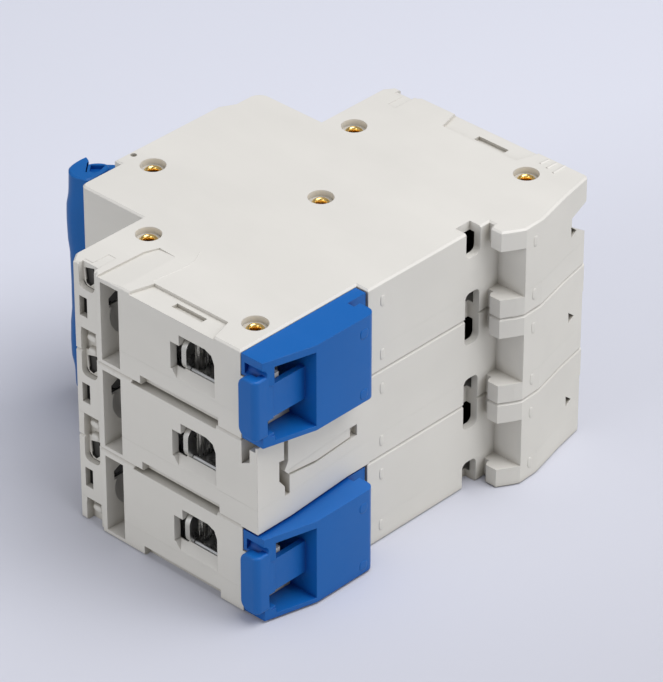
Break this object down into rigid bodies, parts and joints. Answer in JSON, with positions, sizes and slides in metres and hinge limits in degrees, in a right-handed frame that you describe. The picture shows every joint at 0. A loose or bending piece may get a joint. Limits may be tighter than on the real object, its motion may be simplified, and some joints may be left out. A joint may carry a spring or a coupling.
{
  "type": "miniature circuit breaker",
  "caption": "Rail-mounted miniature circuit breaker with linked poles, a common handle bar, pull-out rail clips and screw cage terminals.",
  "frame": {"origin": "centre of the rail seat's face, on the middle pole's mid-plane", "axes": "+X along the height, towards the clips and the lower terminals; -Y out of the front, +Y towards the rail; +Z across the poles"},
  "size_m": [0.0846, 0.0796, 0.054],
  "materials": {
    "housing": "warm off-white moulded thermoset, fine satin",
    "rivet_brass": "plain brass, slightly dull",
    "clip_blue": "mid-blue moulded thermoplastic",
    "handle_blue": "deep blue moulded thermoplastic",
    "steel": "plain steel",
    "zinc_steel": "bright zinc-plated steel",
    "tinned": "tin-plated copper",
    "copper": "plain copper",
    "coil_copper": "lacquered copper, with a tinned strap",
    "bimetal": "bimetal strip, slightly tinted",
    "plate_steel": "copper-washed steel plates",
    "lever_plastic": "grey glass-filled plastic"
  },
  "bodies": {
    "housing": {"case_base_1": "housing", "case_base_2": "housing", "case_base_3": "housing", "case_cover_1": "housing", "case_cover_2": "housing", "case_cover_3": "housing", "rivets": "rivet_brass", "fixed_contact_1": "copper", "fixed_contact_2": "copper", "fixed_contact_3": "copper", "coil_1": "coil_copper", "coil_2": "coil_copper", "coil_3": "coil_copper", "yoke_1": "steel", "yoke_2": "steel", "yoke_3": "steel", "bimetal_1": "bimetal", "bimetal_2": "bimetal", "bimetal_3": "bimetal", "load_strap_1": "tinned", "load_strap_2": "tinned", "load_strap_3": "tinned", "arc_chute_1": "plate_steel", "arc_chute_2": "plate_steel", "arc_chute_3": "plate_steel", "handle_springs": "steel", "braid_leads": "copper"},
    "handle": {"toggle_1": "handle_blue", "toggle_2": "handle_blue", "toggle_3": "handle_blue", "handle_tie_bar": "handle_blue"},
    "links": {"link_1": "steel", "link_2": "steel", "link_3": "steel"},
    "contacts": {"contact_arm_1": "copper", "contact_arm_2": "copper", "contact_arm_3": "copper"},
    "tripper": {"trip_lever_1": "lever_plastic", "trip_lever_2": "lever_plastic", "trip_lever_3": "lever_plastic", "trip_bar": "steel"},
    "plunger_1": {"plunger_1": "steel"},
    "plunger_2": {"plunger_2": "steel"},
    "plunger_3": {"plunger_3": "steel"},
    "load_screw_1": {"load_screw_1": "zinc_steel"},
    "load_clamp_1": {"load_clamp_1": "zinc_steel"},
    "load_screw_2": {"load_screw_2": "zinc_steel"},
    "load_clamp_2": {"load_clamp_2": "zinc_steel"},
    "load_screw_3": {"load_screw_3": "zinc_steel"},
    "load_clamp_3": {"load_clamp_3": "zinc_steel"},
    "line_screw_1": {"line_screw_1": "zinc_steel"},
    "line_clamp_1": {"line_clamp_1": "zinc_steel"},
    "line_screw_2": {"line_screw_2": "zinc_steel"},
    "line_clamp_2": {"line_clamp_2": "zinc_steel"},
    "line_screw_3": {"line_screw_3": "zinc_steel"},
    "line_clamp_3": {"line_clamp_3": "zinc_steel"},
    "din_clip_1": {"din_clip_1": "clip_blue"},
    "din_clip_3": {"din_clip_3": "clip_blue"}
  },
  "joints": [
    {"name": "handle_turn", "type": "hinge", "parent": "housing", "child": "handle", "pos_m": [0, -0.053, 0], "axis": [0, 0, 1], "range_deg": [-80, 0]},
    {"name": "contacts_turn", "type": "hinge", "parent": "housing", "child": "contacts", "pos_m": [0.0065, -0.038, 0], "axis": [0, 0, 1], "range_deg": [0, 13.6]},
    {"name": "links_turn", "type": "hinge", "parent": "handle", "child": "links", "pos_m": [0.00169, -0.05159, 0], "axis": [0, 0, 1], "range_deg": [0, 80]},
    {"name": "tripper_turn", "type": "hinge", "parent": "housing", "child": "tripper", "pos_m": [0.013, -0.044, 0], "axis": [0, 0, 1], "range_deg": [0, 4], "stiffness_Nm_per_rad": 0.03, "springref_deg": -5.73},
    {"name": "plunger_1_strike", "type": "slide", "parent": "housing", "child": "plunger_1", "axis": [0, -1, 0], "range_m": [0, 0.0018], "stiffness_N_per_m": 150, "springref_m": -0.002},
    {"name": "plunger_2_strike", "type": "slide", "parent": "housing", "child": "plunger_2", "axis": [0, -1, 0], "range_m": [0, 0.0018], "stiffness_N_per_m": 150, "springref_m": -0.002},
    {"name": "plunger_3_strike", "type": "slide", "parent": "housing", "child": "plunger_3", "axis": [0, -1, 0], "range_m": [0, 0.0018], "stiffness_N_per_m": 150, "springref_m": -0.002},
    {"name": "load_screw_1_turn", "type": "hinge", "parent": "housing", "child": "load_screw_1", "pos_m": [0.0344, -0.0242, -0.0168], "axis": [0, 1, 0], "range_deg": [0, 2520]},
    {"name": "load_clamp_1_rise", "type": "slide", "parent": "housing", "child": "load_clamp_1", "axis": [0, -1, 0], "range_m": [0, 0.0056]},
    {"name": "load_screw_2_turn", "type": "hinge", "parent": "housing", "child": "load_screw_2", "pos_m": [0.0344, -0.0242, 0.0012], "axis": [0, 1, 0], "range_deg": [0, 2520]},
    {"name": "load_clamp_2_rise", "type": "slide", "parent": "housing", "child": "load_clamp_2", "axis": [0, -1, 0], "range_m": [0, 0.0056]},
    {"name": "load_screw_3_turn", "type": "hinge", "parent": "housing", "child": "load_screw_3", "pos_m": [0.0344, -0.0242, 0.0192], "axis": [0, 1, 0], "range_deg": [0, 2520]},
    {"name": "load_clamp_3_rise", "type": "slide", "parent": "housing", "child": "load_clamp_3", "axis": [0, -1, 0], "range_m": [0, 0.0056]},
    {"name": "line_screw_1_turn", "type": "hinge", "parent": "housing", "child": "line_screw_1", "pos_m": [-0.0344, -0.0242, -0.0168], "axis": [0, 1, 0], "range_deg": [0, 2520]},
    {"name": "line_clamp_1_rise", "type": "slide", "parent": "housing", "child": "line_clamp_1", "axis": [0, -1, 0], "range_m": [0, 0.0056]},
    {"name": "line_screw_2_turn", "type": "hinge", "parent": "housing", "child": "line_screw_2", "pos_m": [-0.0344, -0.0242, 0.0012], "axis": [0, 1, 0], "range_deg": [0, 2520]},
    {"name": "line_clamp_2_rise", "type": "slide", "parent": "housing", "child": "line_clamp_2", "axis": [0, -1, 0], "range_m": [0, 0.0056]},
    {"name": "line_screw_3_turn", "type": "hinge", "parent": "housing", "child": "line_screw_3", "pos_m": [-0.0344, -0.0242, 0.0192], "axis": [0, 1, 0], "range_deg": [0, 2520]},
    {"name": "line_clamp_3_rise", "type": "slide", "parent": "housing", "child": "line_clamp_3", "axis": [0, -1, 0], "range_m": [0, 0.0056]},
    {"name": "din_clip_1_pull", "type": "slide", "parent": "housing", "child": "din_clip_1", "axis": [1, 0, 0], "range_m": [0, 0.004], "stiffness_N_per_m": 800, "springref_m": -0.002},
    {"name": "din_clip_3_pull", "type": "slide", "parent": "housing", "child": "din_clip_3", "axis": [1, 0, 0], "range_m": [0, 0.004], "stiffness_N_per_m": 800, "springref_m": -0.002}
  ],
  "couplings": [
    {"joint": "contacts_turn", "follows": "handle_turn", "ratio": -0.17},
    {"joint": "links_turn", "follows": "handle_turn", "ratio": -1},
    {"joint": "load_screw_1_turn", "follows": "load_clamp_1_rise", "rad_per_m": 7853.9},
    {"joint": "load_screw_2_turn", "follows": "load_clamp_2_rise", "rad_per_m": 7853.9},
    {"joint": "load_screw_3_turn", "follows": "load_clamp_3_rise", "rad_per_m": 7853.9},
    {"joint": "line_screw_1_turn", "follows": "line_clamp_1_rise", "rad_per_m": 7853.9},
    {"joint": "line_screw_2_turn", "follows": "line_clamp_2_rise", "rad_per_m": 7853.9},
    {"joint": "line_screw_3_turn", "follows": "line_clamp_3_rise", "rad_per_m": 7853.9}
  ]
}
